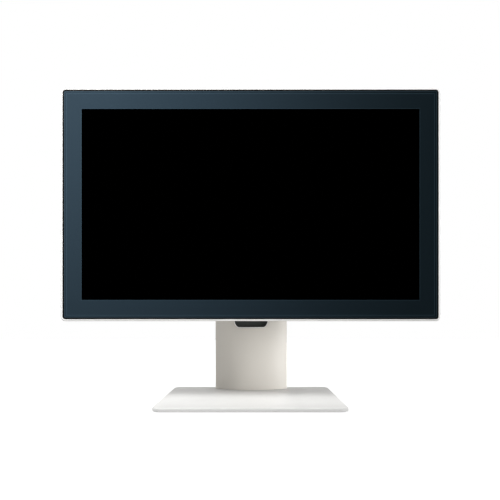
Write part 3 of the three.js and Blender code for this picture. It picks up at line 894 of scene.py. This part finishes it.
def make_base():
    """The thin cover, open below and under the column, and the screws beneath the steel plate."""
    low, top = base_lo.z / MM, base_hi.z / MM
    edge_round, wall, skin = 1.1, 1.8, 1.4
    rings = [base_ring(wall, top - skin), base_ring(wall, low), base_ring(0.5, low), base_ring(0, low + 0.5)]
    rings += [base_ring(i * edge_round, top - edge_round * (1 - r)) for i, r in quarter(5)]
    obj = loft("base_shell", rings, smooth=35)
    mast_opening = box_outline(-46, 46, 76, 106.5)
    boolean(obj, [prism_bmesh(mast_opening, top - 4, top + 2, floor_xy)])
    shade(obj, 35)
    even_normals(obj)
    paint(obj, WHITE)
    finish_piece(obj, "stand", "white_plastic", "base_cover")
    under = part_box("base_plate")[0].z / MM
    for k, (x, y) in enumerate([(-30, 84), (30, 84), (-30, 100), (30, 100)]):
        make_screw(f"base_screw_{k + 1}", place(x, y, under), DOWNWARDS, 3.8, "stand", 1.2)


# ------------------------------------------------------------------ CAD nodes that stay, and their finish

# The material of each, and the width in millimetres of the round put on its edges.
KEPT = {
    # The slot trim's black gives a dark ring round the slot whatever the light: partly the trim's own
    # colour, partly painted shade.
    "slot_trim": (BLACK, 0.3),
    "rail_cover": (CHARCOAL, 0.3),
    "arm_sleeve": (WHITE, 0.8),
    "lift_arm": (STEEL, 0.5),
    "hinge_plate": (STEEL, 0.4),
    "hinge_pin": (STEEL, 0.4),
    "hinge_nut": (ZINC, 0.3),
    "friction_washer_left": (ZINC, 0.3),
    "friction_washer_right": (ZINC, 0.3),
    "mast": (UPRIGHT_STEEL, 0.4),
    "slide_rail_left": (UPRIGHT_STEEL, 0.3),
    "slide_rail_right": (UPRIGHT_STEEL, 0.3),
    "carriage": (ALUMINIUM, 0.4),
    "spring_axle": (STEEL, 0.3),
    "spring_drum": (STEEL, 0.3),
    "base_plate": (ZINC, 0.4),
    "glass_gasket": (BLACK, 0.0),
    "lcd_panel": (BLACK, 0.4),
    "backlight_tray": (ZINC, 0.3),
    "chassis": (ZINC, 0.3),
    "mainboard": (BOARD, 0.2),
    "cpu_cold_plate": (COPPER, 0.2),
    "heat_pipe": (COPPER, 0.8),
    "fin_stack": (ALUMINIUM, 0.0),
    "fan_housing": (BLACK, 0.4),
    "fan_rotor": (CHARCOAL, 0.2),
    "memory_module_1": (BOARD, 0.2),
    "memory_module_2": (BOARD, 0.2),
    "solid_state_drive": (BOARD, 0.2),
    "radio_card": (BOARD, 0.2),
    "speaker_left": (BLACK, 0.5),
    "speaker_right": (BLACK, 0.5),
    "power_inlet": (BLACK, 0.3),
    "network_jack": (ZINC, 0.2),
    "usb_socket_1": (ZINC, 0.2),
    "usb_socket_2": (ZINC, 0.2),
    "display_socket": (ZINC, 0.2),
    "display_cable": (RIBBON, 0.0),
    "button_board": (BOARD, 0.2),
    "foot_front_left": (RUBBER, 0.3),
    "foot_front_right": (RUBBER, 0.3),
    "foot_rear_left": (RUBBER, 0.3),
    "foot_rear_right": (RUBBER, 0.3),
}


def dress_kept_nodes():
    for name, (material, edge) in KEPT.items():
        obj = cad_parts[name]
        paint(obj, material)
        if edge:
            weld = obj.modifiers.new("weld", "WELD")
            weld.merge_threshold = 0.005 * MM
            bevel(obj, edge, 2, 30)


# ------------------------------------------------------------------ stage, lights, camera

FLOOR_HALF_X, FLOOR_FRONT, FLOOR_BACK = 2.2, -1.7, 2.4  # metres
DOME = 0.04  # strength of the dim room round the object


def make_stage():
    """A plain pale floor that ends where the white room takes over."""
    corners = box_outline(-FLOOR_HALF_X, FLOOR_HALF_X, FLOOR_FRONT, FLOOR_BACK)
    bm = bmesh.new()
    bm.faces.new([bm.verts.new((x, y, 0)) for x, y in corners])
    floor = new_object("floor", bm)
    paint(floor, light_table())


def light_table():
    """A white table lit through from below, which the camera sees and the object doesn't."""
    recipe = Recipe("floor_white", (0.34, 0.34, 0.34), 0.9)
    recipe.set(Specular_IOR_Level=0.0, Emission_Color=(1.0, 1.0, 1.0, 1.0))
    recipe.vary_color(recipe.noise(3, 2), 0.3, 0.7, (0.335, 0.335, 0.335), (0.345, 0.345, 0.345))
    glow = recipe.node("ShaderNodeMapRange")
    glow.inputs["To Max"].default_value = 0.88
    recipe.link(recipe.node("ShaderNodeLightPath").outputs["Is Camera Ray"], glow.inputs["Value"])
    recipe.link(glow.outputs["Result"], recipe.shader.inputs["Emission Strength"])
    return recipe.material


def towards(azimuth, elevation):
    """A direction. Azimuth is from straight in front, positive to the right; degrees."""
    a, e = math.radians(azimuth), math.radians(elevation)
    return Vector((math.sin(a) * math.cos(e), -math.cos(a) * math.cos(e), math.sin(e)))


def add_light(name, kind, azimuth, elevation, strength, distance=3.0):
    data = bpy.data.lights.new(name, kind)
    data.energy = strength
    obj = bpy.data.objects.new(name, data)
    direction = towards(azimuth, elevation)
    obj.location = direction * distance
    obj.rotation_euler = direction.to_track_quat("Z", "Y").to_euler()
    bpy.context.scene.collection.objects.link(obj)
    return data


def sun(name, azimuth, elevation, strength, spread):
    """A far soft light, as wide as the spread."""
    add_light(name, "SUN", azimuth, elevation, strength).angle = math.radians(spread)


def softbox(name, azimuth, elevation, power, distance, size):
    """A square panel that faces the middle of the base."""
    data = add_light(name, "AREA", azimuth, elevation, power, distance)
    data.shape, data.size = "SQUARE", size


def make_lights():
    """A low key from the right, soft light from above, and low light round the back."""
    sun("key_right", 66, 4, 2.8, 24)
    sun("fill_left", -75, 6, 0.45, 50)
    softbox("front_top", -45, 56, 25, 1.6, 0.8)
    softbox("rear_top", 180, 52, 13, 2.0, 1.2)
    sun("back_right", 122, 20, 1.0, 40)
    sun("back_left", -122, 22, 1.2, 40)


def make_world():
    """White to the camera and dim to surfaces. Mirror rays see a soft panel high at the front left."""
    world = bpy.data.worlds.new("studio")
    bpy.context.scene.world = world
    world.use_nodes = True
    tree = world.node_tree
    tree.nodes.clear()
    link = tree.links.new

    def node(kind, **properties):
        made = tree.nodes.new(kind)
        for key, value in properties.items():
            setattr(made, key, value)
        return made

    def fade(value, start, end, low=0.0, high=1.0):
        """From low to high as the value goes from start to end."""
        made = node("ShaderNodeMapRange", interpolation_type="SMOOTHSTEP")
        link(value, made.inputs["Value"])
        numbers = {"From Min": start, "From Max": end, "To Min": low, "To Max": high}
        for socket, number in numbers.items():
            made.inputs[socket].default_value = number
        return made.outputs["Result"]

    def product(first, second):
        made = node("ShaderNodeMath", operation="MULTIPLY")
        link(first, made.inputs[0])
        link(second, made.inputs[1])
        return made.outputs["Value"]

    def background(strength):
        made = node("ShaderNodeBackground")
        made.inputs["Color"].default_value = (1, 1, 1, 1)
        made.inputs["Strength"].default_value = strength
        return made

    def choose(ray, otherwise, chosen):
        mix = node("ShaderNodeMixShader")
        link(ray, mix.inputs["Fac"])
        link(otherwise.outputs[0], mix.inputs[1])
        link(chosen.outputs[0], mix.inputs[2])
        return mix

    direction = node("ShaderNodeSeparateXYZ")
    link(node("ShaderNodeTexCoord").outputs["Generated"], direction.inputs["Vector"])
    x, y, z = (direction.outputs[axis] for axis in "XYZ")
    leftwards, upwards, ahead = fade(x, 0.34, -0.46), fade(z, -0.2, 0.5, 0.7, 2.45), fade(y, -0.55, -0.8)
    panel = background(0)
    link(product(product(leftwards, upwards), ahead), panel.inputs["Strength"])
    path = node("ShaderNodeLightPath")
    unseen = choose(path.outputs["Is Glossy Ray"], background(DOME), panel)
    shown = choose(path.outputs["Is Camera Ray"], unseen, background(1.0))
    link(shown.outputs["Shader"], node("ShaderNodeOutputWorld").inputs["Surface"])


CAMERA_X, CAMERA_HEIGHT = 0.0065, 0.1327
CAMERA_DISTANCE = 0.7795  # in front of the glass


def make_camera():
    """A level camera, low in front of the display, with the frame shifted up."""
    data = bpy.data.cameras.new("camera")
    data.lens, data.sensor_width = 36, 36
    data.shift_x, data.shift_y = -0.0095, 0.1375
    obj = bpy.data.objects.new("camera", data)
    obj.location = (CAMERA_X, FACE_Y - CAMERA_DISTANCE, CAMERA_HEIGHT)
    obj.rotation_euler = (math.pi / 2, 0, 0)
    bpy.context.scene.collection.objects.link(obj)
    bpy.context.scene.camera = obj


make_camera()
make_world()
make_lights()
make_stage()
bpy.context.scene.view_settings.view_transform = "Standard"

make_glass()
make_front_frame()
make_buttons()
make_rear_cover()
make_hinge_cover()
make_mounting_screws()
make_column()
make_spring_strip()
make_base()
dress_kept_nodes()
